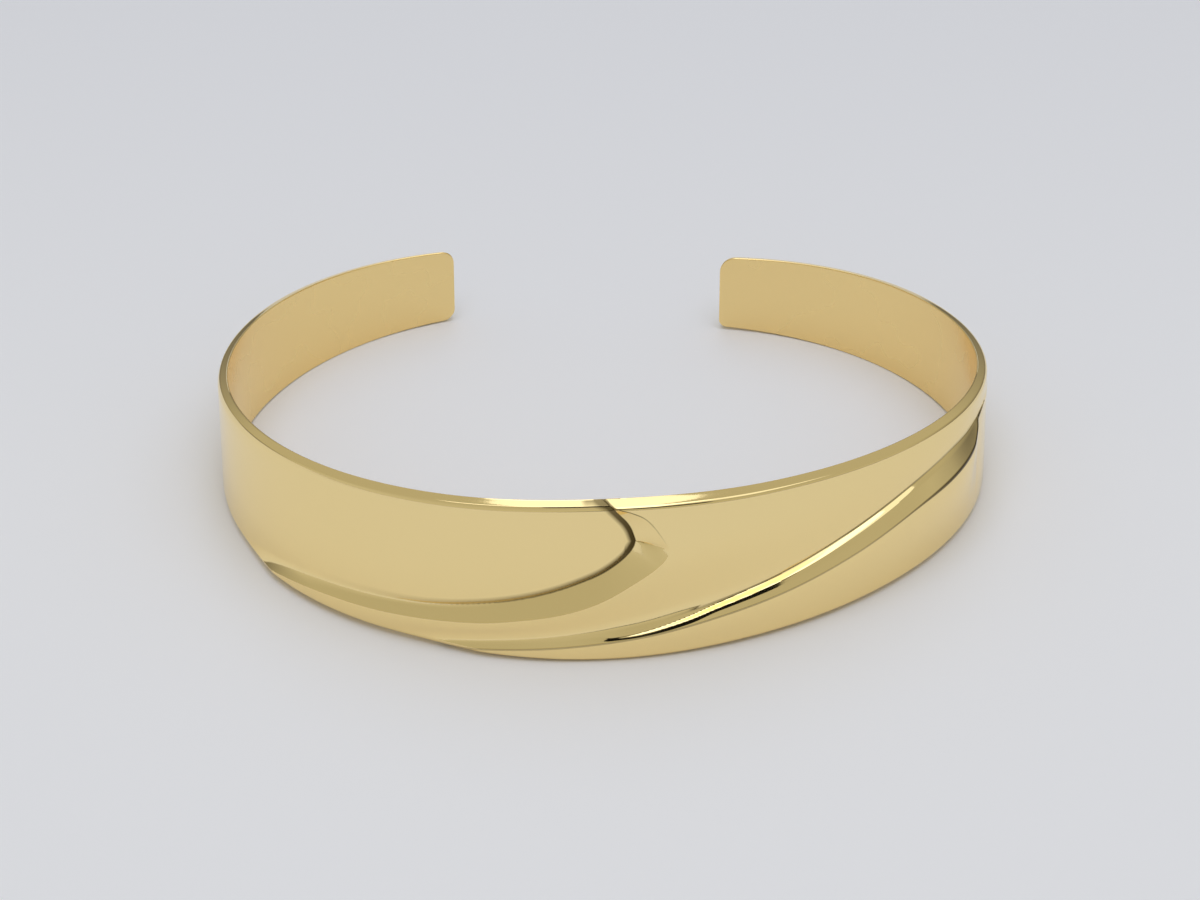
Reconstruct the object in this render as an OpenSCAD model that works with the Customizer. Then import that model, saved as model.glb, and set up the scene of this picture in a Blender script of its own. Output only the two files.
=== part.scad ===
// Open cuff bangle: one solid band, wide in front, narrowing to two round-cornered ends.
// Two swept folds cross the outside: a leaf-nosed hollow at the left and a long shoulder at the right.
// It stands on its lower edge as it rests on a table: +Z up, the opening towards +Y, millimetres.

/* [Band] */
// Height of the band in the middle of the front
front_height = 13.5; // [12:0.1:15]
// Height of the band at the two ends
end_height = 6.4; // [5.5:0.1:7.5]
// Wall of the plain arms
wall = 0.85; // [0.8:0.05:1.2]
// Length of the left arm, from the middle of the front
left_arm = 75; // [72:0.2:76]
// Length of the right arm, from the middle of the front
right_arm = 74.2; // [72:0.2:76]

/* [Edges] */
// Depth of the rolled upper edge at the left
left_rim = 0.72; // [0.5:0.02:0.8]
// Depth of the rolled upper edge at the right
right_rim = 0.52; // [0.4:0.02:0.8]
// Radius of the rounding along the lower edge
lower_round = 0.45; // [0.3:0.05:0.5]
// Corner radius of the left end
left_corner = 1; // [0.5:0.1:1.5]
// Upper corner radius of the right end
right_upper_corner = 1.3; // [0.5:0.1:1.5]
// Lower corner radius of the right end
right_lower_corner = 0.6; // [0.5:0.1:1.5]

/* [Relief] */
// How far the folds rise, as a share of their full height
relief = 1; // [0.5:0.05:1.1]
// Depth of the groove where the left panel rolls down to its crease
roll_depth = 0.14; // [0.05:0.01:0.2]
// Width of that rolled edge
roll_width = 0.45; // [0.3:0.05:0.6]

/* [Hidden] */

gold = [0.86, 0.72, 0.42];

// Along the band, "at" is the distance from the middle of the front, right positive.
// Across the band, "up" is the height above its centre line, on a front of this height
table_height = 13.5;

// Share of the front's extra height that is left, by distance from the front
AT = 0;
SHARE = 1;
TAPER = [
    // distance, share
    [-12, 0.895],
    [0, 1],
    [12, 0.895],
    [24, 0.746],
    [36, 0.573],
    [48, 0.354],
    [60, 0.208],
    [76, 0],
];

// Bend of the band, by distance along it
RADIUS = 1;
BENDS = [
    // at, inner radius
    [-76, 25],
    [-57, 24],
    [-38, 23.5],
    [-19, 27.5],
    [0, 33],
    [19, 37],
    [38, 19.65],
    [57, 21],
    [76, 27],
];
// Direction of the band in the middle of the front, turned from the X axis
front_turn = 4.8;

// The leaf-nosed hollow at the left: its floor ends at a crease, from which a facet
// climbs to the outer line. Crease and outer line turn back at the nose and at the tip,
// and both start at the junction on the upper edge.
// Lines run on past the edges of the band, where they are out of sight.
UP = 1;
junction = -1.2;
nose = [1.82, 3.4];
tip = [4.18, 2.85];
// Where the lines would stand square to the band, for reading them
crease_square = 1.87;
outer_square = 4.18;
CREASE_UPPER = [
    // at, up
    nose,
    [1.7, 3.85],
    [1.52, 4.4],
    [1.2, 5],
    [0.81, 5.5],
    [0.3, 6.1],
    [0, 6.45],
    [-0.5, 6.7],
    [-1.2, 6.95],
];
CREASE_LOWER = [
    // at, up
    nose,
    [1.66, 2.87],
    [1.2, 2.2],
    [0.52, 1.53],
    [-0.7, 0.65],
    [-2.15, -0.06],
    [-3.7, -0.72],
    [-6, -1.5],
    [-8.8, -2.2],
    [-13.5, -2.98],
    [-18.5, -3.35],
    [-23, -3.65],
    [-28.4, -4.3],
    [-34, -5.5],
    [-42, -7.5],
];
OUTER_UPPER = [
    // at, up
    tip,
    [4.01, 3.33],
    [3.65, 3.96],
    [2.92, 5.05],
    [2.41, 5.55],
    [1.48, 6.05],
    [0.68, 6.33],
    [0, 6.6],
    [-0.6, 6.82],
    [-1.2, 7.05],
];
OUTER_LOWER = [
    // at, up
    tip,
    [3.95, 2.1],
    [3.36, 1.41],
    [2.4, 0.66],
    [1.45, 0],
    [-1, -1.5],
    [-3.4, -2.4],
    [-6.5, -3.1],
    [-9.6, -3.65],
    [-16.5, -4.25],
    [-23.5, -4.65],
    [-29, -5.3],
    [-34, -6.4],
    [-42, -8.5],
];

// Crest of the middle panel, which carries the outer line of the hollow
CREST = [
    // at, up
    [-42, -8.4],
    [-34, -6.3],
    [-29, -5.2],
    [-23.5, -4.6],
    [-16.5, -4.2],
    [-9.6, -3.6],
    [-5, -2.6],
    [-1, -0.9],
    [2, 1.1],
    [4.2, 2.4],
    [8, 3.2],
    [14, 3.2],
    [36, 3.8],
];

// The long shoulder at the right, between its upper and lower lines
SHOULDER = [
    // at, upper line, lower line
    [-42, -10, -10.3],
    [-25, -7.8, -8.1],
    [-14, -6.15, -6.55],
    [-9, -5.45, -6],
    [-3.7, -4.75, -5.45],
    [1.8, -3.85, -4.7],
    [7.5, -2.7, -3.65],
    [13.5, -1.35, -2.5],
    [19.5, 0.4, -1.05],
    [25.3, 1.95, 0.45],
    [30.2, 2.8, 1.15],
    [33.5, 3.1, 1.8],
    [36, 3.3, 3.1],
    [40, 3.4, 3.35],
];
UPPER_LINE = 1;
LOWER_LINE = 2;
SHOULDER_PROFILE = [
    // share across, share of the rise left of the middle, and right of it
    [0, 0, 0],
    [0.15, 0.12, 0.25],
    [0.4, 0.38, 0.6],
    [0.65, 0.65, 0.79],
    [0.88, 0.9, 0.95],
    [1, 1, 1],
];
RISE_LEFT = 1;
RISE_RIGHT = 2;

// Rise of the wall above the plain arms at each of the lines
RISE = 1;
RIM_RISE = [
    [1, 0.33],
    [4, 0.3],
    [9, 0.2],
    [16, 0.1],
    [30, 0.03],
    [40, 0],
];
CREST_RISE = [
    [-36, 0.25],
    [-30, 0.35],
    [-24, 0.45],
    [-17, 0.53],
    [-10, 0.62],
    [-5, 0.75],
    [0, 0.84],
    [4.2, 0.84],
    [12, 0.45],
    [22, 0.22],
    [36, 0.05],
    [46, 0],
];
UPPER_LINE_RISE = [
    [-30, 0.25],
    [-14, 0.28],
    [-8, 0.31],
    [-3, 0.38],
    [0, 0.38],
    [4, 0.22],
    [10, 0.1],
    [36, 0.08],
    [46, 0],
];
LOWER_LINE_RISE = [
    [-30, 0.25],
    [-14, 0.48],
    [-8, 0.57],
    [-3, 0.64],
    [0, 0.74],
    [5, 0.93],
    [18, 1.05],
    [30, 1.05],
    [33.5, 0.85],
    [35, 0.5],
    [36, 0.2],
    [46, 0],
];
LOWER_EDGE_RISE = [
    [-30, 0.2],
    [-14, 0.44],
    [-8, 0.45],
    [-4, 0.42],
    [0, 0.34],
    [8, 0.3],
    [20, 0.32],
    [32, 0.3],
    [46, 0.05],
    [56, 0],
];

// Stations along the band where the folds are
STRETCHES = [
    // to, steps from the row before
    [-36, 0],
    [-15, 26],
    [-3, 20],
    [junction, 4],
    [nose[AT], 12],
    [3.6, 8],
    [tip[AT], 6],
    [8, 7],
    [38, 42],
];
plain_steps = 24;
corner_steps = 5;
bend_step = 0.5;

// Rolled upper edge, from the inner corner out and down
RIM = [
    // left: share of the wall, share of the depth; right: the same
    [0, 0, 0, 0],
    [0.35, 0.05, 0.4, 0.07],
    [0.66, 0.17, 0.7, 0.24],
    [0.81, 0.37, 0.9, 0.54],
    [0.93, 0.67, 0.98, 0.8],
    [1, 1, 1, 1],
];
LEFT = 0;
RIGHT = 2;

// Places of the rows between one line and the next
FACET_ROWS = [0, 1 / 3, 2 / 3];
PANEL_ROWS = [0, 0.2, 0.4, 0.6, 0.8];
SHOULDER_ROWS = [0, 0.15, 0.4, 0.65, 0.88];
LOWEST_ROWS = [0, 0.33, 0.67];
upper_rows = 8;
hollow_rows = 9;
lower_steps = 3;
// Closer than this, two points are one
same_place = 0.0001;
// Least distance between neighbouring lines
line_gap = 0.03;
// Stretch over which the lines spread out again past the end of a fold
spread = 18;

function lerp(a, b, u) = a + (b - a) * u;
function clamp(x, low, high) = max(low, min(high, x));
function ease(u) = let (c = clamp(u, 0, 1)) c * c * (3 - 2 * c);
function column(table, c) = [for (row = table) row[c]];

// Smooth curve through two columns of a table, flat past its ends
function tangent(x, y, i) =
    let (a = max(0, i - 1), b = min(len(x) - 1, i + 1)) (y[b] - y[a]) / (x[b] - x[a]);
function between(x, y, i, p) =
    let (
        h = x[i + 1] - x[i],
        u = (p - x[i]) / h,
        rise = y[i + 1] - y[i],
        m0 = tangent(x, y, i) * h,
        m1 = tangent(x, y, i + 1) * h
    ) y[i] + u * (m0 + u * (3 * rise - 2 * m0 - m1 + u * (m0 + m1 - 2 * rise)));
function curve(x, y, p) =
    let (
        c = clamp(p, x[0], x[len(x) - 1]),
        i = max([for (k = [0 : len(x) - 2]) x[k] <= c ? k : 0])
    ) between(x, y, i, c);
function read(table, c, at) = curve(column(table, AT), column(table, c), at);

// Heights are read in proportion to the front
tall = front_height / table_height;
function read_up(table, c, at) = tall * read(table, c, at);

// A line that turns back: read over the root of the distance from where it stands square to the band
function read_from(table, square, at) =
    let (root = sqrt(max(square - at, 0)))
        tall * curve([for (row = table) sqrt(abs(square - row[AT]))], column(table, UP), root);

// Half of the band's height before the end corners are cut
function half_height(at) =
    lerp(end_height, front_height, read(TAPER, SHARE, abs(at))) / 2;
function corner_cut(at, arm, r) =
    let (past = clamp(abs(at) - (arm - r), 0, r)) r - sqrt(r * r - past * past);
function upper_edge(at) =
    half_height(at) - (at < 0 ? corner_cut(at, left_arm, left_corner)
                              : corner_cut(at, right_arm, right_upper_corner));
function lower_edge(at) =
    -half_height(at) + (at < 0 ? corner_cut(at, left_arm, left_corner)
                               : corner_cut(at, right_arm, right_lower_corner));

// The eight lines along the outside, from the upper edge down, by their number
OUTER_U = 1;
CREASE_U = 2;
CREASE_L = 3;
OUTER_L = 4;
SHOULDER_U = 5;
SHOULDER_L = 6;
FOOT = 7;

// Heights of the lines; past the tip the crest takes the place of the hollow's lines
crest_joins = 4;
function crease_upper(at) = read_from(CREASE_UPPER, crease_square, at);
function crease_lower(at) = read_from(CREASE_LOWER, crease_square, at);
function outer_upper(at) = read_from(OUTER_UPPER, outer_square, at);
function outer_lower(at) = read_from(OUTER_LOWER, outer_square, at);
function fold_lines(at) =
    let (
        shoulder = read_up(SHOULDER, LOWER_LINE, at),
        past_tip = at > tip[AT] + same_place,
        crest = lerp(tall * tip[UP], read_up(CREST, UP, at), ease((at - tip[AT]) / crest_joins))
    ) [
        upper_edge(at),
        past_tip ? crest : min(outer_upper(at), upper_edge(at)),
        past_tip ? crest : min(crease_upper(at), upper_edge(at)),
        past_tip ? crest : crease_lower(at),
        past_tip ? crest : outer_lower(at),
        read_up(SHOULDER, UPPER_LINE, at),
        shoulder,
        min(lower_edge(at), shoulder) - line_gap,
    ];

// Wall at the lines
function rise(table, at) = wall + relief * read(table, RISE, at);
function middle_wall(at, up) =
    let (
        crest = read_up(CREST, UP, at),
        above = (up - crest) / (upper_edge(at) - crest),
        below = (crest - up) / (crest - read_up(SHOULDER, UPPER_LINE, at))
    ) up > crest ? lerp(rise(CREST_RISE, at), rise(RIM_RISE, at), ease(above))
        : lerp(rise(CREST_RISE, at), rise(UPPER_LINE_RISE, at), ease(below));
function groove(at) = roll_depth * ease((at + 22) / 14);
function fold_walls(at) = [
    rise(RIM_RISE, at),
    middle_wall(at, min(outer_upper(at), upper_edge(at))),
    wall - groove(at),
    wall - groove(at),
    middle_wall(at, outer_lower(at)),
    rise(UPPER_LINE_RISE, at),
    rise(LOWER_LINE_RISE, at),
    rise(LOWER_EDGE_RISE, at),
];

// How the wall goes from one line to the next, as a share of the change
soft_left = -14;
soft_right = -5;
function facet_profile(u, at) = pow(u, lerp(1.6, 1, ease((at - soft_left) / (soft_right - soft_left))));
shoulder_left = -2;
shoulder_right = 4;
function shoulder_profile(u, at) =
    let (right = ease((at - shoulder_left) / (shoulder_right - shoulder_left))) lerp(
        lookup(u, [for (row = SHOULDER_PROFILE) [row[0], row[RISE_LEFT]]]),
        lookup(u, [for (row = SHOULDER_PROFILE) [row[0], row[RISE_RIGHT]]]),
        right);
function profile(line, u, at) =
    line == CREASE_L ? facet_profile(u, at) : line == SHOULDER_U ? shoulder_profile(u, at) : ease(u);

// The left panel's edge rolls down into the groove on both sides of the crease's nose
slope_step = 0.02;
function lean(rise_over_step) = norm([1, rise_over_step / slope_step]);
function roll(at, distance) = groove(at) * pow(clamp(1 - distance / roll_width, 0, 1), 2);
function panel_wall(at, up) =
    wall - max(
        roll(at, (crease_upper(at) - up) / lean(crease_upper(at) - crease_upper(at - slope_step))),
        roll(at, (up - crease_lower(at)) / lean(crease_lower(at) - crease_lower(at - slope_step))));

// Wall at any height of a station
function wall_at(at, up, line, thick) =
    let (
        i = up > line[OUTER_U] ? 0 : max([for (k = [0 : FOOT - 1]) k == 0 || line[k] >= up ? k : 0]),
        u = clamp((line[i] - up) / max(line[i] - line[i + 1], 0.001), 0, 1)
    ) i == 0 || i == OUTER_L ? middle_wall(at, up)
        : i == CREASE_U ? panel_wall(at, up) : lerp(thick[i], thick[i + 1], profile(i, u, at));

// Share of the wall that the rolled upper edge leaves at a depth under the edge
function rim_share(side, depth, drop) = lookup(drop / depth, [for (row = RIM) [row[side + 1], row[side]]]);

// Rows, each a list of [at, up, wall] points
function upper_panel(at, low, line, thick) =
    let (top = upper_edge(at), height = top - low, rims = len(RIM) - 1)
        [for (i = [0 : upper_rows - 1])
            let (
                free = i <= rims ? right_rim * RIM[i][RIGHT + 1]
                                 : lerp(right_rim, height, (i - rims) / (upper_rows - rims)),
                drop = min(free, height * i / upper_rows)
            ) [at, top - drop, wall_at(at, top - drop, line, thick) * rim_share(RIGHT, right_rim, drop)]];
function crease_lag(at) =
    (tip[AT] - nose[AT]) * pow(clamp((at - junction) / (tip[AT] - junction), 0, 1), 2);
function upper_facet(at, line, thick) =
    let (
        c = at - crease_lag(at),
        crease_up = fold_lines(c)[CREASE_U],
        crease_wall = fold_walls(c)[CREASE_U]
    ) [for (u = FACET_ROWS)
        let (
            s = lerp(at, c, u),
            up = lerp(line[OUTER_U], crease_up, u),
            drop = upper_edge(s) - up,
            share = lerp(rim_share(RIGHT, right_rim, drop), rim_share(LEFT, left_rim, drop), u)
        ) [s, up, lerp(thick[OUTER_U], crease_wall, u) * share]];
function hollow(at, foot_up) =
    let (
        c = at - crease_lag(at),
        line = fold_lines(c),
        low = max(line[CREASE_L], foot_up),
        height = line[CREASE_U] - low,
        rims = len(RIM) - 1,
        below_rim = ease((line[0] - line[CREASE_U]) / left_rim),
        drops = [for (i = [0 : rims])
            min(lerp(left_rim * RIM[i][LEFT + 1], roll_width * i / rims, below_rim), height * i / hollow_rows)],
        lifts = [for (i = [2, 1]) min(roll_width * i / 2, height * i / hollow_rows)],
        middle = (line[CREASE_U] - drops[rims] + low + lifts[0]) / 2,
        ups = concat([for (d = drops) line[CREASE_U] - d], [middle], [for (l = lifts) low + l])
    ) [for (up = ups) [c, up, panel_wall(c, up) * rim_share(LEFT, left_rim, line[0] - up)]];
function lower_facet(at, row, line, thick) =
    let (
        c = at - crease_lag(at),
        crease_up = at < junction ? row[CREASE_L] : crease_lower(c),
        crease_wall = fold_walls(c)[CREASE_L]
    ) [for (u = FACET_ROWS)
        let (up = lerp(crease_up, row[OUTER_L], u))
            at < junction ? [at, up, wall_at(at, up, line, thick)]
                : [lerp(c, at, u), up, lerp(crease_wall, thick[OUTER_L], facet_profile(u, c))]];
function plain_bay(at, row, line, thick, from, shares) =
    [for (u = shares) let (up = lerp(row[from], row[from + 1], u)) [at, up, wall_at(at, up, line, thick)]];

// Row lines: the lower lines kept inside the band and apart, spread evenly where there is no fold
fold_left = -34;
fold_right = 37;
function kept_apart(line, i, above, floor) =
    i > FOOT ? [] :
    let (here = clamp(line[i], floor + (FOOT - i) * line_gap, above - line_gap))
        concat([here], kept_apart(line, i + 1, here, floor));
function row_lines(at, line) =
    let (
        top = line[0] - left_rim,
        bottom = lower_edge(at) + lower_round,
        kept = concat([top, top, top], kept_apart(line, CREASE_L, top, bottom)),
        first = at < 0 ? CREASE_L : OUTER_L,
        share = ease(max(fold_left - at, at - fold_right) / spread)
    ) [for (i = [0 : FOOT])
        i < first ? kept[i]
            : lerp(kept[i], lerp(top, bottom, (i - first + 1) / (FOOT - first + 1)), share)];

// Cross-section at one station, as [at, up, out] points from the inner upper edge round to the inner lower edge
function hollow_rows_at(at, row, line, thick) =
    concat(upper_facet(at, line, thick), hollow(at, row[CREASE_L]), lower_facet(at, row, line, thick));
function section(at) =
    let (
        line = fold_lines(at),
        thick = fold_walls(at),
        row = row_lines(at, line),
        past_tip = at > tip[AT] + same_place,
        crest_wall = wall_at(at, row[OUTER_L], line, thick),
        foot_wall = wall_at(at, row[FOOT], line, thick)
    ) concat(
        upper_panel(at, past_tip ? row[OUTER_L] : line[OUTER_U], line, thick),
        past_tip ? [for (k = [hollow_first : hollow_last - 1]) [at, row[OUTER_L], crest_wall]]
            : hollow_rows_at(at, row, line, thick),
        plain_bay(at, row, line, thick, OUTER_L, PANEL_ROWS),
        plain_bay(at, row, line, thick, SHOULDER_U, SHOULDER_ROWS),
        plain_bay(at, row, line, thick, SHOULDER_L, LOWEST_ROWS),
        [for (k = [0 : lower_steps])
            let (a = 90 * k / lower_steps)
                [at, row[FOOT] - lower_round * sin(a), foot_wall - lower_round * (1 - cos(a))]],
        [[at, row[FOOT] - lower_round, 0]]
    );
// Rows of the hollow and its facets end at the tip
hollow_first = upper_rows;
hollow_last = hollow_first + 2 * len(FACET_ROWS) + hollow_rows;

// The bent centre line: [x, y, direction] every bend_step from the left end
function bend_walk(at, x, y, direction, step, stop) =
    [for (
        s = at, px = x, py = y, a = direction;
        abs(s - at) <= stop + abs(step);
        turn = step / read(BENDS, RADIUS, s + step / 2) * 180 / PI,
        px = px + step * cos(a + turn / 2),
        py = py + step * sin(a + turn / 2),
        a = a + turn,
        s = s + step
    ) [s, px, py, a]];
right_walk = bend_walk(0, 0, 0, front_turn, bend_step, right_arm);
left_walk = bend_walk(0, 0, 0, front_turn, -bend_step, left_arm);
function on_walk(at) =
    let (
        walk = at < 0 ? left_walk : right_walk,
        k = floor(abs(at) / bend_step),
        u = abs(at) / bend_step - k
    ) lerp(walk[k], walk[k + 1], u);
// A place on the band, out from its inner side
function place(at, up, out) =
    let (w = on_walk(at)) [w[1] + out * sin(w[3]), w[2] - out * cos(w[3]), up];

// Stations, closer at the folds and at the round corners
function corner_stations(arm, r) =
    [for (k = [1 : corner_steps]) arm - r + r * sin(90 * k / corner_steps)];
function stretch_stations(i) =
    let (from = STRETCHES[i - 1][AT], to = STRETCHES[i][AT], steps = STRETCHES[i][1])
        [for (k = [1 : steps]) lerp(from, to, k / steps)];
right_straight = right_arm - max(right_upper_corner, right_lower_corner);
left_straight = left_arm - left_corner;
fold_first = STRETCHES[0][AT];
fold_last = STRETCHES[len(STRETCHES) - 1][AT];
stations = concat(
    [for (k = [corner_steps - 1 : -1 : 0]) -corner_stations(left_arm, left_corner)[k]],
    [for (k = [0 : plain_steps]) lerp(-left_straight, fold_first, k / plain_steps)],
    [for (i = [1 : len(STRETCHES) - 1]) each stretch_stations(i)],
    [for (k = [1 : plain_steps]) lerp(fold_last, right_straight, k / plain_steps)],
    corner_stations(right_arm, right_upper_corner)
);

// The band rests on the foot of the front and on the lowest place under each arm
front_foot = place(0, lower_edge(0), 0);
function arm_feet(side) =
    [for (at = [45 : 1 : 73]) place(side * at, lower_edge(side * at), wall - lower_round)];
function slope_to(p) = (p[2] - front_foot[2]) / (p[1] - front_foot[1]);
function lowest_foot(feet) = [for (p = feet) if (slope_to(p) <= min([for (q = feet) slope_to(q)])) p][0];
rest_normal = cross(lowest_foot(arm_feet(1)) - front_foot, lowest_foot(arm_feet(-1)) - front_foot);
rest_up = rest_normal / norm(rest_normal);
rest_right = cross([0, 1, 0], rest_up) / norm(cross([0, 1, 0], rest_up));
rest_back = cross(rest_up, rest_right);
function tipped(p) = [p * rest_right, p * rest_back, p * rest_up];
sections = [for (at = stations) [for (p = section(at)) tipped(place(p[0], p[1], p[2]))]];
loose_points = [for (ring = sections) each ring];
xs = column(loose_points, 0);
ys = column(loose_points, 1);
zs = column(loose_points, 2);
origin = [(min(xs) + max(xs)) / 2, (min(ys) + max(ys)) / 2, min(zs)];
band_points = [for (p = loose_points) p - origin];

// Points that coincide in one ring are taken as the first of them
ring_size = len(sections[0]);
last_ring = len(sections) - 1;
tip_ring = [for (i = [0 : last_ring]) if (stations[i] > tip[AT] - same_place) i][0];
firsts = [for (ring = sections)
    [for (k = [0 : ring_size - 1]) [for (j = [0 : k]) if (norm(ring[j] - ring[k]) < same_place) j][0]]];
function corner(i, k) = i * ring_size + firsts[i][k % ring_size];
function distinct(face) = face[0] != face[1] && face[1] != face[2] && face[2] != face[0];
function end_face(i) = [for (k = [0 : ring_size - 1]) if (firsts[i][k] == k) corner(i, k)];
function inside_hollow(i, k) = i >= tip_ring && k >= hollow_first && k < hollow_last;
side_faces = [for (i = [0 : last_ring - 1]) for (k = [0 : ring_size - 1]) if (!inside_hollow(i, k))
    let (a = corner(i, k), b = corner(i, k + 1), c = corner(i + 1, k), d = corner(i + 1, k + 1))
        each [[a, c, d], [a, d, b]]];
band_faces = concat(
    [end_face(0)],
    [for (face = side_faces) if (distinct(face)) face],
    [[for (k = [len(end_face(last_ring)) - 1 : -1 : 0]) end_face(last_ring)[k]]]
);

module cuff_band() {
    color(gold) polyhedron(points = band_points, faces = band_faces, convexity = 6);
}

cuff_band();
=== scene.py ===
import math
import bpy
import numpy as np
from mathutils import Matrix, Vector


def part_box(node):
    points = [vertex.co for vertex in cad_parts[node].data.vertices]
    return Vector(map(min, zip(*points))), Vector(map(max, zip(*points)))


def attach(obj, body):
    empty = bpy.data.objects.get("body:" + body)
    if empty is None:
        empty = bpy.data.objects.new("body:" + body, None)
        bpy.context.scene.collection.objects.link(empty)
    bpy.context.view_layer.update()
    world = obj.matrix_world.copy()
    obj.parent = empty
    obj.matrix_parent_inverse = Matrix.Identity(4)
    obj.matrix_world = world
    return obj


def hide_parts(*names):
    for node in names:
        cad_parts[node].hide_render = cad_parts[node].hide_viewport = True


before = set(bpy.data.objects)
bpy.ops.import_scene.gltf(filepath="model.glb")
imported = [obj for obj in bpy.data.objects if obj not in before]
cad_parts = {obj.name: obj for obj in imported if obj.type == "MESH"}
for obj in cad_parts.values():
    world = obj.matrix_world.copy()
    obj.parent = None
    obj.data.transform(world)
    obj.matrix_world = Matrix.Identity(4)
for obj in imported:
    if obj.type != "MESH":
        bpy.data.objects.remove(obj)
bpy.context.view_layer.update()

MM = 0.001
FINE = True

# Sizes in millimetres. Along the band, "at" is the distance from the middle of the front, right
# positive. Across it, "up" is the height above its centre line. "Out" is the distance outside
# its inner face.
front_height, end_height, wall = 13.5, 6.4, 0.85
left_arm, right_arm = 75, 74.2
left_corner, right_upper_corner, right_lower_corner = 1.0, 1.3, 0.6
left_rim, right_rim, lower_round, inner_round = 0.72, 0.52, 0.45, 0.09
front_turn = math.radians(4.8)

# The leaf-nosed hollow: where it starts on the upper edge, its nose, and the tip of its bevel
junction, nose, tip = -1.2, (1.82, 3.4), (4.18, 2.85)
crease_square, outer_square = 1.87, 4.18  # where its lines stand square to the band
roll_depth, roll_width = 0.14, 0.45  # groove where the hollow rolls down to its crease
groove_from, groove_length, groove_reach = -22, 14, 2.2
bevel_from, bevel_length, bevel_hollow = -14, 9, 1.6  # left of this the bevel is hollowed
mitre_depth, mitre_reach = 0.16, 0.85  # groove from the nose to the tip
mitre_taper, mitre_outer, mitre_inner = 1.5, 14, 5

# The shoulder: blends between its slopes, along it and across it
crest_blend = 4
steep_blend = 0.035
shoulder_from, shoulder_length = 3, 6
shoulder_top, shoulder_foot = 0.08, 0.07
# Soft rise of the middle panel towards the shoulder, on at most this share of the panel
fillet_width, fillet_lean, fillet_share = 0.95, 0.98, 0.6
relief_left, relief_right, relief_fade = -34, 37, 18  # past these the rows even out

# Every table below but the last starts its rows with the distance along the band.
# Share of the front's extra height that is left
TAPER = [[-12, 0.895], [0, 1], [12, 0.895], [24, 0.746], [36, 0.573], [48, 0.354], [60, 0.208],
         [76, 0]]
# Inner radius of the bend
BENDS = [[-76, 25], [-57, 24], [-38, 23.5], [-19, 27.5], [0, 33], [19, 37], [38, 19.65],
         [57, 21], [76, 27]]

# Heights of the lines: the crease and the outer line of the bevel, above and below the nose
CREASE_UPPER = [nose, [1.7, 3.85], [1.52, 4.4], [1.2, 5], [0.81, 5.5], [0.3, 6.1], [0, 6.45],
                [-0.5, 6.7], [-1.2, 6.95]]
CREASE_LOWER = [nose, [1.66, 2.87], [1.2, 2.2], [0.52, 1.53], [-0.7, 0.65], [-2.15, -0.06],
                [-3.7, -0.72], [-6, -1.5], [-8.8, -2.2], [-13.5, -2.98], [-18.5, -3.3],
                [-23, -3.55], [-28.4, -4.05], [-34, -4.8], [-42, -6.4]]
OUTER_UPPER = [tip, [4.01, 3.33], [3.65, 3.96], [2.92, 5.05], [2.41, 5.55], [1.48, 6.05],
               [0.68, 6.33], [0, 6.6], [-0.6, 6.82], [-1.2, 7.05]]
OUTER_LOWER = [tip, [3.95, 2.1], [3.36, 1.41], [2.4, 0.66], [1.45, 0], [-1, -1.5], [-3.4, -2.4],
               [-6.5, -3.1], [-9.6, -3.65], [-16.5, -4.25], [-23.5, -4.65], [-29, -5.3],
               [-34, -6.4], [-42, -8.5]]
# Height of the crest of the middle panel
CREST = [[-42, -8.4], [-34, -6.3], [-29, -5.2], [-23.5, -4.6], [-16.5, -4.2], [-9.6, -3.6],
         [-5, -2.6], [-1, -0.9], [2, 1.1], [4.2, 2.4], [8, 3.2], [14, 3.2], [36, 3.8]]
# Heights of the top and the foot of the shoulder
SHOULDER = [[-42, -10, -10.3], [-25, -7.8, -8.1], [-14, -6.15, -6.55], [-9, -5.45, -6],
            [-3.7, -4.75, -5.45], [1.8, -3.85, -4.7], [7.5, -2.7, -3.65], [13.5, -1.35, -2.5],
            [19.5, 0.4, -1.05], [25.3, 1.95, 0.45], [30.2, 2.8, 1.15], [33.5, 3.1, 1.8],
            [36, 3.3, 3.1], [40, 3.4, 3.35]]
# Three shares of the way down the shoulder where its slope changes, then its four slopes
STEEP = [[-14, 0.3, 0.6, 0.8, 0.4, 0.42, 0.42, 0.42],
         [-1, 0.3, 0.62, 0.8, 0.36, 0.44, 0.44, 0.44],
         [0.2, 0.6, 0.7, 0.85, 0.38, 0.57, 0.57, 0.36],
         [2.3, 0.64, 0.71, 0.9, 0.38, 1.2, 0.57, 0.36],
         [5.8, 0.38, 0.52, 0.82, 0.4, 2, 0.57, 0.36],
         [8, 0.18, 0.32, 0.56, 0.5, 2.5, 0.55, 0.42],
         [14, 0.05, 0.21, 0.5, 1.2, 2.6, 0.6, 0.5],
         [21, 0.05, 0.2, 0.5, 1.2, 2, 0.6, 0.6],
         [28, 0.05, 0.22, 0.5, 0.9, 1.2, 0.7, 0.7],
         [36, 0.05, 0.22, 0.5, 0.7, 0.7, 0.7, 0.7]]

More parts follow.
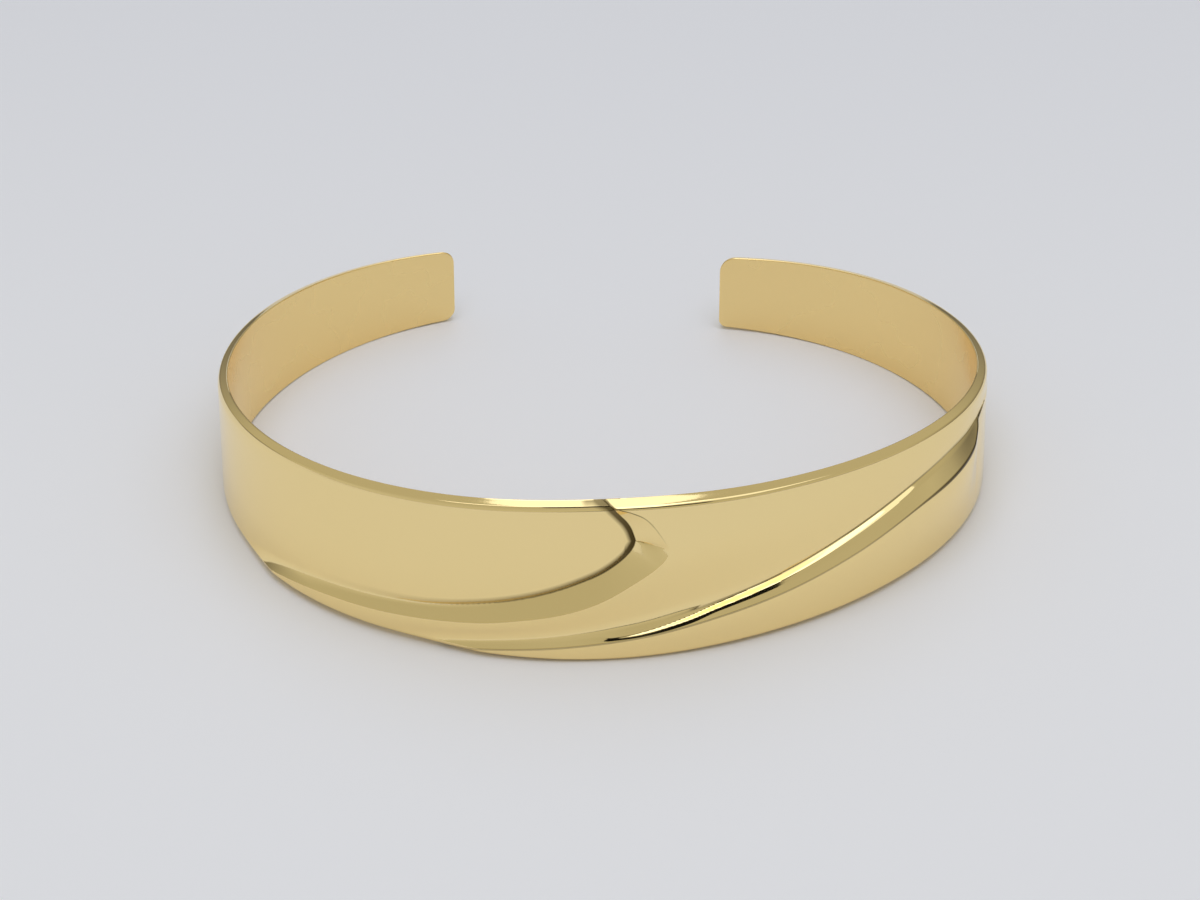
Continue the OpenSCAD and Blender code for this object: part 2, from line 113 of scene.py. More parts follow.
# How far the outside stands out of the plain wall
FILLET = [[-26, 0.04], [-18, 0.12], [-12, 0.2], [0, 0.2], [2.3, 0.18], [5.8, 0.18], [11, 0.04],
          [14, 0]]
RIM_RISE = [[1, 0.33], [4, 0.3], [9, 0.2], [16, 0.1], [30, 0.03], [40, 0]]
CREST_RISE = [[-36, 0.42], [-30, 0.5], [-24, 0.56], [-17, 0.6], [-10, 0.66], [-5, 0.76],
              [0, 0.84], [4.2, 0.84], [12, 0.45], [22, 0.22], [36, 0.05], [46, 0]]
UPPER_LINE_RISE = [[-30, 0.25], [-14, 0.1], [-8, 0.1], [-3, 0.16], [0, 0.16], [4, 0.12],
                   [8, 0.08], [36, 0.08], [46, 0]]
LOWER_LINE_RISE = [[-30, 0.25], [-14, 0.48], [-8, 0.57], [-3, 0.64], [0, 0.72], [5, 0.9],
                   [18, 1.05], [30, 1.05], [33.5, 0.85], [35, 0.5], [36, 0.2], [46, 0]]
LOWER_EDGE_RISE = [[-30, 0.2], [-14, 0.44], [-8, 0.45], [-4, 0.44], [0, 0.4], [8, 0.4],
                   [20, 0.42], [32, 0.36], [46, 0.05], [56, 0]]

# Strength of the painted shade and painted dark reflections along the sharp seams
CREASE_SHADE = [[-24, 0], [-16, 0.15], [-10, 0.42], [-4, 0.65], [-1, 0.8], [1.9, 1]]
OUTER_SHADE = [[-1.2, 0.8], [1.5, 0.75], [3.2, 0.35], [4.1, 0]]
MITRE_SHADE = [[1.8, 0.6], [2.3, 0.2], [3.2, 0]]
SHOULDER_SHADE = [[4, 0], [9, 0.55], [21, 0.7], [30, 0.4], [36, 0]]
FOOT_SHADE = [[-22, 0], [-14, 0.3], [-2, 0.45], [8, 0.5], [20, 0.5], [27, 0.85], [34, 1],
              [36.5, 0.6], [38, 0]]
crease_soft, crease_sharp, seam_width, outer_width = 0.56, 0.12, 0.11, 0.07
foot_widens, foot_widening = 24, 6
seam_firm = 1.7
# Paths of the crease and the outer line, from which the shade's distance is measured: points
# on them, and the square root of how far they run from where they stand square
crease_turn, crease_straight, outer_turn = 260, 200, 160
crease_near, crease_far, outer_far = 0.05 ** 0.5, 3.2, 2.35
paths_end, far_off, widest_gap = 6, 9.0, 50

# Rolled upper edge: share of the wall and of the rim's depth at the left, then at the right
RIM = [[0, 0, 0, 0], [0.38, 0.15, 0.36, 0.16], [0.74, 0.28, 0.68, 0.3], [0.84, 0.38, 0.83, 0.41],
       [0.905, 0.57, 0.935, 0.6], [0.97, 0.82, 0.985, 0.84], [1, 1, 1, 1]]
LEFT, RIGHT = 0, 2

# Fineness of the mesh: rows across the band, and distance between the columns along it
rim_rows, facet_rows, panel_rows, roll_rows, fillet_rows, shoulder_rows, low_rows, round_rows = (
    (14, 8, 8, 7, 6, 32, 5, 6) if FINE else (7, 4, 6, 4, 3, 12, 4, 4))
middle_rows = panel_rows - 3
column_step, fold_step = (0.19, 0.05) if FINE else (0.5, 0.15)
tip_columns, tip_crowding = 30 if FINE else 12, 1.6
corner_columns = 12
foot_from, foot_to = 45, 74.0  # where an arm may touch the table
fold_left, fold_right = -15, 8
walk_end, walk_step = 76, 0.05
inner_shares = (0.02, 0.33, 0.67, 0.98)
least_gap = 0.03
tiny = 1e-4

# The eight lines that the outside is built between, from the upper edge down
(UPPER_EDGE, BEVEL_TOP, CREASE_TOP, CREASE_FOOT, BEVEL_FOOT,
 SHOULDER_TOP, SHOULDER_FOOT, LOWER_EDGE) = range(8)


# Curves through the tables
def lerp(a, b, u):
    return a + (b - a) * u


def ease(u):
    c = np.clip(u, 0, 1)
    return c * c * (3 - 2 * c)


def curve(x, y, p):
    """Value at p of a smooth curve through the points x, y."""
    x, y = np.asarray(x, float), np.asarray(y, float)
    m = np.empty_like(y)
    m[1:-1] = (y[2:] - y[:-2]) / (x[2:] - x[:-2])
    m[0], m[-1] = (y[1] - y[0]) / (x[1] - x[0]), (y[-1] - y[-2]) / (x[-1] - x[-2])
    p = np.clip(p, x[0], x[-1])
    i = np.clip(np.searchsorted(x, p, side="right") - 1, 0, len(x) - 2)
    h = x[i + 1] - x[i]
    u = (p - x[i]) / h
    gain = y[i + 1] - y[i]
    a, b = m[i] * h, m[i + 1] * h
    return y[i] + u * (a + u * (3 * gain - 2 * a - b + u * (a + b - 2 * gain)))


def read(table, column, at):
    t = np.array(table, float)
    return curve(t[:, 0], t[:, column], at)


def read_from(table, square, at):
    """Height of a line that stands square to the band at its right end."""
    t = np.array(table, float)
    return curve(np.sqrt(abs(square - t[:, 0])), t[:, 1], np.sqrt(np.maximum(square - at, 0)))


# Outline of the band and the lines on it
def half_height(at):
    return lerp(end_height, front_height, read(TAPER, 1, abs(at))) / 2


def corner_cut(at, arm, r):
    past = np.clip(abs(at) - (arm - r), 0, r)
    return r - np.sqrt(r * r - past * past)


def upper_edge(at):
    return half_height(at) - np.where(at < 0, corner_cut(at, left_arm, left_corner),
                                      corner_cut(at, right_arm, right_upper_corner))


def lower_edge(at):
    return -half_height(at) + np.where(at < 0, corner_cut(at, left_arm, left_corner),
                                       corner_cut(at, right_arm, right_lower_corner))


def past_tip(at):
    return at > tip[0] + tiny


def crest_line(at):
    return lerp(tip[1], read(CREST, 1, at), ease((at - tip[0]) / crest_blend))


def lines(at):
    past = past_tip(at)
    crest, top, foot = crest_line(at), upper_edge(at), read(SHOULDER, 2, at)
    return [top,
            np.where(past, crest, np.minimum(read_from(OUTER_UPPER, outer_square, at), top)),
            np.where(past, crest, np.minimum(read_from(CREASE_UPPER, crease_square, at), top)),
            np.where(past, crest, read_from(CREASE_LOWER, crease_square, at)),
            np.where(past, crest, read_from(OUTER_LOWER, outer_square, at)),
            read(SHOULDER, 1, at), foot, np.minimum(lower_edge(at), foot) - least_gap]


# How far the outside stands from the inner face
def rise(table, at):
    return wall + read(table, 1, at)


def middle_wall(at, up):
    crest = read(CREST, 1, at)
    above = (up - crest) / (upper_edge(at) - crest)
    below = (crest - up) / (crest - read(SHOULDER, 1, at))
    foot = (up - read(SHOULDER, 1, at)) * fillet_lean
    return np.where(up > crest, lerp(rise(CREST_RISE, at), rise(RIM_RISE, at), ease(above)),
                    lerp(rise(CREST_RISE, at), rise(UPPER_LINE_RISE, at), ease(below))
                    + read(FILLET, 1, at) * np.clip(1 - foot / fillet_width, 0, 1) ** 2)


def groove(at):
    return roll_depth * ease((at - groove_from) / groove_length)


def crease_wall(at, up):
    return wall - groove(at) * ease((upper_edge(at) - up) / groove_reach)


def walls(at):
    line = lines(at)
    return [rise(RIM_RISE, at), middle_wall(at, line[BEVEL_TOP]),
            crease_wall(at, line[CREASE_TOP]), crease_wall(at, line[CREASE_FOOT]),
            middle_wall(at, read_from(OUTER_LOWER, outer_square, at)),
            rise(UPPER_LINE_RISE, at) + read(FILLET, 1, at), rise(LOWER_LINE_RISE, at),
            rise(LOWER_EDGE_RISE, at)]


def facet_profile(u, at):
    return u ** lerp(bevel_hollow, 1, ease((at - bevel_from) / bevel_length))


def shoulder_slope(u, at):
    slope = read(STEEP, 4, at)
    for k in (1, 2, 3):
        share = (u - read(STEEP, k, at)) / (2 * steep_blend) + 0.5
        slope = lerp(slope, read(STEEP, k + 4, at), ease(share))
    start = lerp(1, ease(u / shoulder_top), ease((at - shoulder_from) / shoulder_length))
    return start * ease((1 - u) / shoulder_foot) * slope


def shoulder_profile(u, at, steps=120):
    """Share of the shoulder's rise that is done at the share u of its way down."""
    share = np.linspace(0, 1, steps + 1)[:, None]
    slope = shoulder_slope(share, at[None, :])
    total = np.concatenate([np.zeros_like(slope[:1]), np.cumsum((slope[1:] + slope[:-1]) / 2, 0)])
    total /= total[-1]
    k = np.clip(u, 0, 1) * steps
    i = np.minimum(k.astype(int), steps - 1)
    n = np.arange(len(at))
    return lerp(total[i, n], total[i + 1, n], k - i)


def crease_path():
    turn = crease_square - np.linspace(crease_near, crease_far, crease_turn) ** 2
    upper = turn[turn > junction - 0.5][::-1]
    straight = np.linspace(turn[-1], CREASE_LOWER[-1][0], crease_straight)
    at = np.concatenate([upper, turn, straight])
    up = np.concatenate([read_from(CREASE_UPPER, crease_square, upper),
                         read_from(CREASE_LOWER, crease_square, at[len(upper):])])
    return at, up


def outer_path():
    at = outer_square - np.linspace(0, outer_far, outer_turn) ** 2
    return at, read_from(OUTER_UPPER, outer_square, at)


CREASE, OUTER = crease_path(), outer_path()


def path_distance(path, at, up):
    at, up = np.broadcast_arrays(at, up)
    out = np.full(at.shape, far_off)
    near = at < paths_end
    out[near] = np.hypot(path[0][None] - at[near][:, None],
                         path[1][None] - up[near][:, None]).min(1)
    return out


def mitre_distance(at, up):
    along = np.array(tip) - nose
    along /= np.hypot(*along)
    return abs((up - nose[1]) * along[0] - (at - nose[0]) * along[1])


def hollow_wall(at, up):
    near = np.clip(1 - path_distance(CREASE, at, up) / roll_width, 0, 1)
    return lerp(wall, crease_wall(at, up), near ** 2)


def wall_at(at, up, line, thick):
    for k in range(LOWER_EDGE):
        u = np.clip((line[k] - up) / np.maximum(line[k] - line[k + 1], 0.001), 0, 1)
        if k in (UPPER_EDGE, BEVEL_FOOT):
            value = middle_wall(at, up)
        elif k == CREASE_TOP:
            value = hollow_wall(at, up)
        else:
            shape = (facet_profile(u, at) if k == CREASE_FOOT
                     else shoulder_profile(u, at) if k == SHOULDER_TOP else ease(u))
            value = lerp(thick[k], thick[k + 1], shape)
        here = (line[k] >= up) & (up <= line[BEVEL_TOP])
        out = value if k == UPPER_EDGE else np.where(here, value, out)
    return out


# The rolled upper edge
def rim_curve(side):
    row = np.arange(len(RIM), dtype=float)
    fine = np.linspace(0, len(RIM) - 1, 401)
    t = np.array(RIM)
    return curve(row, t[:, side], fine), curve(row, t[:, side + 1], fine)


def rim_share(side, depth, drop):
    share, down = rim_curve(side)
    return np.interp(drop / depth, np.maximum.accumulate(down), share)


def rim_drops(side, depth):
    down = rim_curve(side)[1]
    return depth * down[np.linspace(0, len(down) - 1, rim_rows + 1).astype(int)]


# Rows of the mesh: each is along, up and out
def upper_panel(at, low, line, thick):
    top = upper_edge(at)
    height = top - low
    total = rim_rows + panel_rows
    rims = rim_drops(RIGHT, right_rim)
    rows = []
    for i in range(total):
        free = rims[i] if i <= rim_rows else lerp(right_rim, height, (i - rim_rows) / panel_rows)
        drop = np.minimum(free, height * i / total)
        out = wall_at(at, top - drop, line, thick) * rim_share(RIGHT, right_rim, drop)
        rows.append((at, top - drop, np.maximum(out, inner_round)))
    return rows


def lag(at):
    """How far the crease's end of a line across the bevel lies left of its outer end."""
    return (tip[0] - nose[0]) * np.clip((at - junction) / (tip[0] - junction), 0, 1) ** 2


def mitre(at, u):
    """Depth of the mitre between the two facets; u runs from the crease to the outer line."""
    near = np.clip(1 - np.sqrt(np.maximum(outer_square - at, 0)) / mitre_reach, 0, 1)
    return (mitre_depth * near ** mitre_taper * (1 - u ** mitre_outer)
            * (1 - (1 - u) ** mitre_inner))


def upper_facet(at, line, thick):
    c = at - lag(at)
    crease_up = lines(c)[CREASE_TOP]
    foot = crease_wall(c, crease_up)
    rows = []
    for i in range(facet_rows):
        u = i / facet_rows
        s, up = lerp(at, c, u), lerp(line[BEVEL_TOP], crease_up, u)
        drop = upper_edge(s) - up
        share = lerp(rim_share(RIGHT, right_rim, drop), rim_share(LEFT, left_rim, drop), u)
        out = (lerp(thick[BEVEL_TOP], foot, u) - mitre(at, 1 - u)) * share
        rows.append((s, up, np.maximum(out, inner_round)))
    return rows


def hollow(at, foot_up):
    c = at - lag(at)
    line = lines(c)
    top, low = line[CREASE_TOP], np.maximum(line[CREASE_FOOT], foot_up)
    height = top - low
    total = rim_rows + panel_rows + roll_rows
    below = ease((line[UPPER_EDGE] - top) / left_rim)
    rims = rim_drops(LEFT, left_rim)
    drops = [np.minimum(lerp(rims[i], roll_width * i / rim_rows, below), height * i / total)
             for i in range(rim_rows + 1)]
    lifts = [np.minimum(roll_width * i / roll_rows, height * i / total)
             for i in range(roll_rows, 0, -1)]
    first, last = top - drops[-1], low + lifts[0]
    ups = ([top - drop for drop in drops]
           + [lerp(first, last, i / panel_rows) for i in range(1, panel_rows)]
           + [low + lift for lift in lifts])
    rows = []
    for up in ups:
        out = hollow_wall(c, up) * rim_share(LEFT, left_rim, line[UPPER_EDGE] - up)
        rows.append((c, up, np.maximum(out, inner_round)))
    return rows


def lower_facet(at, row, line, thick):
    c = at - lag(at)
    before = at < junction
    crease_up = np.where(before, row[CREASE_FOOT], read_from(CREASE_LOWER, crease_square, c))
    rows = []
    for i in range(facet_rows):
        u = i / facet_rows
        up = lerp(crease_up, row[BEVEL_FOOT], u)
        ruled = (lerp(crease_wall(c, crease_up), thick[BEVEL_FOOT], facet_profile(u, c))
                 - mitre(at, u))
        rows.append((np.where(before, at, lerp(c, at, u)), up,
                     np.where(before, wall_at(at, up, line, thick), ruled)))
    return rows


def plain_rows(at, ups, line, thick):
    return [(at, up, wall_at(at, up, line, thick)) for up in ups]


def middle_ups(row):
    top, foot = row[BEVEL_FOOT], row[SHOULDER_TOP]
    reach = np.minimum(fillet_width, (top - foot) * fillet_share)
    return ([lerp(top, foot + reach, i / middle_rows) for i in range(middle_rows)]
            + [foot + reach * (1 - i / fillet_rows) for i in range(fillet_rows)])


def even_ups(top, foot, count):
    return [lerp(top, foot, u) for u in np.linspace(0, 1, count + 1)[:-1]]


def lower_rounding(at, edge, line, thick):
    foot = wall_at(at, edge, line, thick)
    rows = []
    for k in range(round_rows + 1):
        a = math.radians(90 * k / round_rows)
        rows.append((at, edge - lower_round * math.sin(a),
                     foot - lower_round * (1 - math.cos(a))))
    return rows


def inside(at, foot, top):
    """The rounded inner edges and the plain inner face, and how many rows the face has."""
    turn = np.radians(90 * np.arange(round_rows // 2 + 1) / (round_rows // 2))
    under = [(at, foot + inner_round * (1 - np.cos(a)),
              np.full_like(at, inner_round * (1 - np.sin(a)))) for a in turn]
    face = [(at, lerp(foot + inner_round, top - inner_round, u), np.zeros_like(at))
            for u in inner_shares]
    over = [(at, top - inner_round * (1 - np.sin(a)),
             np.full_like(at, inner_round * (1 - np.cos(a)))) for a in turn[:-1]]
    return under + face + over, 1 + len(face) + len(over)


def row_lines(at, line):
    """The eight lines kept in order and inside the band; they even out towards its ends."""
    top, bottom = line[UPPER_EDGE] - left_rim, lower_edge(at) + lower_round
    kept, above = [top] * CREASE_FOOT, top
    for i in range(CREASE_FOOT, LOWER_EDGE + 1):
        above = np.clip(line[i], bottom + (LOWER_EDGE - i) * least_gap, above - least_gap)
        kept.append(above)
    first = np.where(at < 0, CREASE_FOOT, BEVEL_FOOT)
    share = ease(np.maximum(relief_left - at, at - relief_right) / relief_fade)
    even = [lerp(top, bottom, (i - first + 1) / (len(kept) - first)) for i in range(len(kept))]
    return [np.where(i < first, kept[i], lerp(kept[i], even[i], share)) for i in range(len(kept))]


# Bending the band round
def walk():
    s = np.arange(-walk_end, walk_end + 0.01, walk_step)
    bend = 1 / read(BENDS, 1, s)
    angle = np.concatenate([[0], np.cumsum((bend[1:] + bend[:-1]) / 2 * walk_step)])
    angle += front_turn - np.interp(0, s, angle)
    mid = (angle[1:] + angle[:-1]) / 2
    x, y = (np.concatenate([[0], np.cumsum(f(mid) * walk_step)]) for f in (np.cos, np.sin))
    return s, x - np.interp(0, s, x), y - np.interp(0, s, y), angle


WALK = walk()


def place(at, up, out):
    s, x, y, angle = WALK
    a = np.interp(at, s, angle)
    return np.stack([np.interp(at, s, x) + out * np.sin(a), np.interp(at, s, y) - out * np.cos(a),
                     np.broadcast_to(up, np.shape(a))], -1)


def rest_frame():
    """The band stands on the lowest point of its front and on a foot under each arm."""
    front = place(0.0, float(lower_edge(np.array(0.0))), 0.0)
    feet = []
    for side in (1, -1):
        at = side * np.arange(foot_from, foot_to)
        p = place(at, lower_edge(at), wall - lower_round)
        slope = (p[:, 2] - front[2]) / (p[:, 1] - front[1])
        feet.append(p[slope.argmin()])
    up = np.cross(feet[0] - front, feet[1] - front)
    up /= np.linalg.norm(up)
    right = np.cross([0, 1, 0], up)
    right /= np.linalg.norm(right)
    return np.array([right, np.cross(up, right), up])


REST = rest_frame()


def stretch(start, end, step):
    return np.linspace(start, end, max(2, int(round((end - start) / step)) + 1))[1:]


def stations():
    turn = np.radians(90 * np.arange(1, corner_columns + 1) / corner_columns)
    left_end, right_end = left_arm - left_corner, right_arm - right_upper_corner
    left = -(left_end + left_corner * np.sin(turn))[::-1]
    right = right_end + right_upper_corner * np.sin(turn)
    near_tip = tip[0] - (tip[0] - nose[0]) * np.linspace(1, 0, tip_columns) ** tip_crowding
    half_step = (column_step + fold_step) / 2
    return np.concatenate([
        left, [-left_end], stretch(-left_end, fold_left, column_step),
        stretch(fold_left, junction, half_step), stretch(junction, nose[0], fold_step),
        near_tip[1:], stretch(tip[0], fold_right, half_step),
        stretch(fold_right, right_end, column_step), right])


# The band as a mesh
def painted_shade_marks(at, up, region):
    """Distances from three seams, as shares of their widths, and the strength of the shade
    painted along them.
    """
    crease = path_distance(CREASE, at, up) / (crease_soft if region == "hollow" else crease_sharp)
    shoulder = abs(up - read(SHOULDER, 1, at)) / seam_width
    foot_width = seam_width * (1 + ease((at - foot_widens) / foot_widening))
    foot = abs(up - read(SHOULDER, 2, at)) / foot_width
    painted_shade_strength = [read(CREASE_SHADE, 1, at), read(SHOULDER_SHADE, 1, at), read(FOOT_SHADE, 1, at)]
    if region in ("upper panel", "upper facet"):
        shoulder = path_distance(OUTER, at, up) / outer_width
        painted_shade_strength[1] = read(OUTER_SHADE, 1, at)
    if region in ("upper facet", "lower facet"):
        foot, painted_shade_strength[2] = mitre_distance(at, up) / outer_width, read(MITRE_SHADE, 1, at)
    return np.stack([crease, shoulder, foot], -1), np.stack(painted_shade_strength, -1)


def faces_of(index, tip_column, bevel):
    """Faces between the rows and over both ends; past the tip the bevel's rows are one line."""
    columns, rows = index.shape
    faces = []
    for i in range(columns - 1):
        for k in range(rows):
            if i >= tip_column and k in bevel:
                continue
            after = (k + 1) % rows
            loop = (index[i, k], index[i + 1, k], index[i + 1, after], index[i, after])
            kept = [int(v) for j, v in enumerate(loop) if v != loop[j - 1]]
            if len(set(kept)) == len(kept) and len(kept) > 2:
                faces.append(kept)
    for i, step in ((0, 1), (columns - 1, -1)):
        faces.append(list(dict.fromkeys(int(v) for v in index[i]))[::step])
    return faces


def band():
    at = stations()
    line, thick = lines(at), walls(at)
    row = row_lines(at, line)
    past = past_tip(at)
    panel = upper_panel(at, np.where(past, row[BEVEL_FOOT], line[BEVEL_TOP]), line, thick)
    bevel = (upper_facet(at, line, thick) + hollow(at, row[CREASE_FOOT])
             + lower_facet(at, row, line, thick))
    crest = plain_rows(at, [row[BEVEL_FOOT]], line, thick)[0]
    bevel = [tuple(np.where(past, c, v) for v, c in zip(r, crest)) for r in bevel]
    ups = (middle_ups(row) + even_ups(row[SHOULDER_TOP], row[SHOULDER_FOOT], shoulder_rows)
           + even_ups(row[SHOULDER_FOOT], row[LOWER_EDGE], low_rows))
    inner, face_rows = inside(at, row[LOWER_EDGE] - lower_round, upper_edge(at))
    rows = (panel + bevel + plain_rows(at, ups, line, thick)
            + lower_rounding(at, row[LOWER_EDGE], line, thick) + inner)

    regions = (["upper panel"] * len(panel) + ["upper facet"] * facet_rows
               + ["hollow"] * (len(bevel) - 2 * facet_rows) + ["lower facet"] * facet_rows)
    regions += ["low"] * (len(rows) - len(regions))
    marks = [painted_shade_marks(r[0], r[1], region) for r, region in zip(rows, regions)]
    gap, painted_shade_strength = (np.stack([m[i] for m in marks], 1) for i in (0, 1))
    inner_face = np.zeros(gap.shape[:2])
    inner_face[:, len(rows) - face_rows:] = 1
    gap, painted_shade_strength = gap.reshape(-1, 3), (painted_shade_strength * (1 - inner_face)[:, :, None]).reshape(-1, 3)

    points = np.stack([place(*r) for r in rows], 1) @ REST.T
    low, high = points.min((0, 1)), points.max((0, 1))
    box_low, box_high = (np.array(corner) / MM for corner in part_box("cuff_band"))
    origin = np.array([low[0] - box_low[0], high[1] - box_high[1], low[2] - box_low[2]])
    points -= origin
    flat = points.reshape(-1, 3)
    _, first, same = np.unique(np.round(flat, 5), axis=0, return_index=True, return_inverse=True)
    faces = faces_of(same.ravel().reshape(points.shape[:2]),
                     int(np.argmax(at > tip[0] - tiny)),
                     range(len(panel), len(panel) + len(bevel)))
    return (flat[first] * MM, faces, origin, np.minimum(gap[first], widest_gap), painted_shade_strength[first],
            inner_face.ravel()[first])


points, faces, origin, gap, painted_shade_strength, inner_face = band()
mesh = bpy.data.meshes.new("cuff")
mesh.from_pydata(points.tolist(), [], faces)
# The seams' distances and the strength of their painted shade go onto the mesh for the material
for name, values in (("gap", gap), ("painted_shade_strength", painted_shade_strength)):
    mesh.attributes.new(name, "FLOAT_VECTOR", "POINT").data.foreach_set("vector", values.ravel())
mesh.attributes.new("inner_face", "FLOAT", "POINT").data.foreach_set("value", inner_face)
mesh.validate()
mesh.polygons.foreach_set("use_smooth", [True] * len(mesh.polygons))
mesh.set_sharp_from_angle(angle=math.radians(15))
cuff = bpy.data.objects.new("cuff", mesh)
bpy.context.scene.collection.objects.link(cuff)
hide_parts("cuff_band")
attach(cuff, "root")


# Finish
class Wire:
    """One output of a node tree, or the tree alone. Sums and products of it add Math nodes."""

    def __init__(self, tree, output=None):
        self.tree, self.output = tree, output

    def feed(self, socket, value):
        if isinstance(value, Wire):
            self.tree.links.new(value.output, socket)
        else:
            socket.default_value = value

    def node(self, kind, settings=None, inputs=None, out=0):
        node = self.tree.nodes.new("ShaderNode" + kind)
        for name, value in (settings or {}).items():
            if name == "stops":
                stops = node.color_ramp.elements
                for i, (position, color) in enumerate(value):
                    stop = stops[i] if i < 2 else stops.new(position)
                    stop.position, stop.color = position, (*color, 1)
            else:
                setattr(node, name, value)
        for name, value in (inputs or {}).items():
            self.feed(node.inputs[name], value)
        return Wire(self.tree, node.outputs[out])

    def calc(self, operation, *values):
        return self.node("Math", {"operation": operation}, dict(enumerate(values)))

    def __add__(self, other):
        return self.calc("ADD", self, other)

    def __sub__(self, other):
        return self.calc("SUBTRACT", self, other)

    def __rsub__(self, other):
        return self.calc("SUBTRACT", other, self)

    def __mul__(self, other):
        return self.calc("MULTIPLY", self, other)

    def __truediv__(self, other):
        return self.calc("DIVIDE", self, other)

    def __rtruediv__(self, other):
        return self.calc("DIVIDE", other, self)

    __radd__, __rmul__ = __add__, __mul__

    def clamp(self):
        return self.calc("MAXIMUM", self.calc("MINIMUM", self, 1), 0)

    def most(self, other):
        return self.calc("MAXIMUM", self, other)

    def mix(self, one, other):
        """The first colour where this share is 0, the other where it is 1."""
        one, other = (c if isinstance(c, Wire) else (*c, 1) for c in (one, other))
        return self.node("Mix", {"data_type": "RGBA"}, {0: self, 6: one, 7: other}, out=2)

    def split(self):
        parts = self.node("SeparateXYZ", None, {0: self}).output.node.outputs
        return [Wire(self.tree, part) for part in parts]


gold_color = (0.985, 0.78, 0.375)
# Deeper gold painted on the inner face: painted shade and painted reflection of the gold front
inner_shaded_color = (0.96, 0.73, 0.33)
# Dark brown painted along the seams: painted shade in the creases and painted dark reflections on
# the shoulder's lines
painted_shade_color = (0.07, 0.045, 0.012)
polish, polish_cloud, inner_dullness = 0.05, 0.05, 0.2
cloud_scale, grain_scale, grain_strength, grain_height = 140.0, 2600.0, 0.05, 0.02 * MM


def polished_gold():
    m = bpy.data.materials.new("polished_gold")
    m.use_nodes = True
    start, shader = Wire(m.node_tree), m.node_tree.nodes["Principled BSDF"]
    gaps, painted_shade_strengths = (start.node("Attribute", {"attribute_name": name}, out="Vector").split()
                  for name in ("gap", "painted_shade_strength"))
    crease, shoulder, foot = [((1 - g) * seam_firm).clamp() * i for g, i in zip(gaps, painted_shade_strengths)]
    painted_seam_shade = crease.most(shoulder).most(foot)
    inner = start.node("Attribute", {"attribute_name": "inner_face"}, out="Fac")
    where = start.node("TexCoord", out="Object")
    cloud = start.node("TexNoise", None, {"Vector": where, "Scale": cloud_scale, "Detail": 2.0})
    grain = start.node("TexNoise", None, {"Vector": where, "Scale": grain_scale, "Detail": 3.0})
    bump = start.node("Bump", None, {
        "Strength": grain_strength, "Distance": grain_height, "Height": grain})
    shader.inputs["Metallic"].default_value = 1.0
    metal = inner.mix(gold_color, inner_shaded_color)
    # The seams' painted shade and painted dark reflections are mixed into the base colour
    start.feed(shader.inputs["Base Color"], painted_seam_shade.mix(metal, painted_shade_color))
    start.feed(shader.inputs["Roughness"], polish + polish_cloud * cloud + inner_dullness * inner)
    start.feed(shader.inputs["Normal"], bump)
    return m


mesh.materials.append(polished_gold())

# Floor, light and camera
# The floor's paper is painted darker and bluer towards the back, standing in for the light
# falling off away from the front
paper_near, paper_far, paper_depth = (0.9, 0.9, 0.94), (0.8, 0.805, 0.86), 0.12
room_color, room_low = (0.48, 0.47, 0.41), (0.54, 0.535, 0.49)
room_floor, room_dark = (0.58, 0.58, 0.55), (0.05, 0.045, 0.04)
room_knee, room_shoulder = 0.1, 0.35  # heights between which its walls turn darker
front_dark_height, back_dark_height, back_strength = 0.07, 0.5, 0.85
floor_half = 4


def plain(name, color):
    m = bpy.data.materials.new(name)
    m.use_nodes = True
    b = m.node_tree.nodes["Principled BSDF"]
    b.inputs["Base Color"].default_value = (*color, 1)
    b.inputs["Roughness"].default_value = 1
    b.inputs["Specular IOR Level"].default_value = 0
    return m


def sheet(name, middle, wide, high, material):
    """A flat sheet with two half sides, wide and high."""
    corners = [middle + a * wide + b * high for a, b in ((-1, -1), (1, -1), (1, 1), (-1, 1))]
    m = bpy.data.meshes.new(name)
    m.from_pydata([tuple(c) for c in corners], [], [list(range(len(corners)))])
    o = bpy.data.objects.new(name, m)
    m.materials.append(material)
    bpy.context.scene.collection.objects.link(o)
    return o


# Painted light fall-off: the paper turns darker and bluer over paper_depth towards the back
def paper_painted_darker_behind():
    paper = plain("paper", paper_near)
    start = Wire(paper.node_tree)
    depth = start.node("TexCoord", out="Object").split()[1]
    start.feed(paper.node_tree.nodes["Principled BSDF"].inputs["Base Color"],
               (depth / paper_depth).clamp().mix(paper_near, paper_far))
    return paper


sheet("floor", Vector((0, 0, 0)), Vector((floor_half, 0, 0)), Vector((0, floor_half, 0)),
      paper_painted_darker_behind())


def room():
    """Pale walls, with a low dark band in front at the right and a higher one behind."""
    world = bpy.data.worlds.new("studio")
    bpy.context.scene.world = world
    world.use_nodes = True
    start = Wire(world.node_tree)
    side, front, height = start.node("TexCoord", out="Generated").split()
    walls_color = start.node("ValToRGB", {"stops": [
        (0, room_floor), (1, room_color), (room_knee, room_low), (room_shoulder, room_color)]},
        {0: height})
    dark_front = ((1 - height / front_dark_height).clamp() * (side * 4 + 0.6).clamp()
                  * (1 - front * 2).clamp())
    dark_back = ((1 - height / back_dark_height).clamp() * (front * 2.5).clamp()
                 * back_strength)
    start.feed(world.node_tree.nodes["Background"].inputs["Color"],
               dark_front.most(dark_back).mix(walls_color, room_dark))


room()


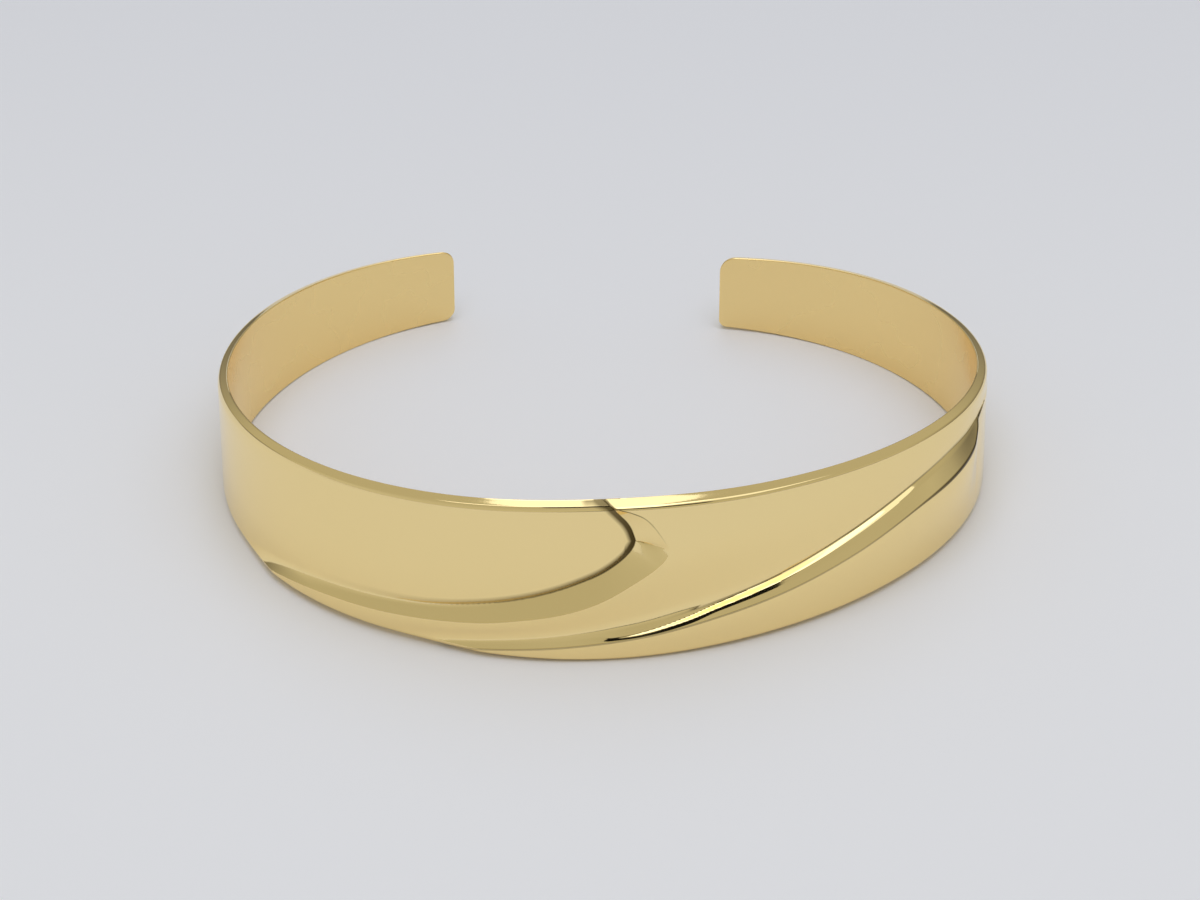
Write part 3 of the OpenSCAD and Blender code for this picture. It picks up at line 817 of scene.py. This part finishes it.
def softbox(name, x, y, z, wide, deep, radiance, color):
    light = bpy.data.lights.new(name, "AREA")
    light.shape, light.size, light.size_y = "RECTANGLE", wide, deep
    light.energy, light.color = radiance * math.pi * wide * deep, color
    o = bpy.data.objects.new(name, light)
    o.location = (x, y, z)
    bpy.context.scene.collection.objects.link(o)


softbox("softbox_front", 0, -0.3, 1, 0.84, 0.8, 1.35, (0.88, 0.94, 1.12))
softbox("softbox_side", 0.64, -0.15, 1, 0.44, 0.62, 0.68, (0.88, 0.95, 1.1))
softbox("softbox_top", 0, 0.5, 1, 0.42, 1.7, 0.9, (0.88, 0.95, 1.1))

# Black card in front of the band, a little to the right; it gives the shoulder its dark line
card_turn, card_rise = math.radians(15), math.radians(34)
card_away, card_wide, card_high = 0.36, 0.145, 0.05
towards = Vector((math.sin(card_turn) * math.cos(card_rise),
                  -math.cos(card_turn) * math.cos(card_rise), math.sin(card_rise)))
wide = Vector((math.cos(card_turn), math.sin(card_turn), 0)) * card_wide
high = towards.cross(wide).normalized() * card_high
card = sheet("camera_card", towards * card_away, wide, high,
             plain("black_card", (0.01, 0.01, 0.01)))
card.visible_camera = card.visible_shadow = card.visible_diffuse = False

# The camera looks at a point in the band's own frame, in millimetres
elevation, distance, pixels_per_mm = math.radians(29.5), 300.0, 12.59
target = np.array([-0.68, 19.19, 0.0])
photo_width, sensor_width = 1200, 36
camera_data = bpy.data.cameras.new("camera")
camera = bpy.data.objects.new("camera", camera_data)
bpy.context.scene.collection.objects.link(camera)
bpy.context.scene.camera = camera
forward = np.array([0, math.cos(elevation), -math.sin(elevation)])
across = np.array([1.0, 0, 0])
axes = [REST @ across, REST @ np.cross(across, forward), REST @ -forward]
spot = (REST @ (target - distance * forward) - origin) * MM
camera.matrix_world = (Matrix.Translation(Vector(spot))
                       @ Matrix(np.array(axes).T.tolist()).to_4x4())
camera_data.sensor_width = sensor_width
camera_data.lens = sensor_width * pixels_per_mm * distance / photo_width
camera_data.clip_end = 20

bpy.context.scene.view_settings.view_transform = "Standard"
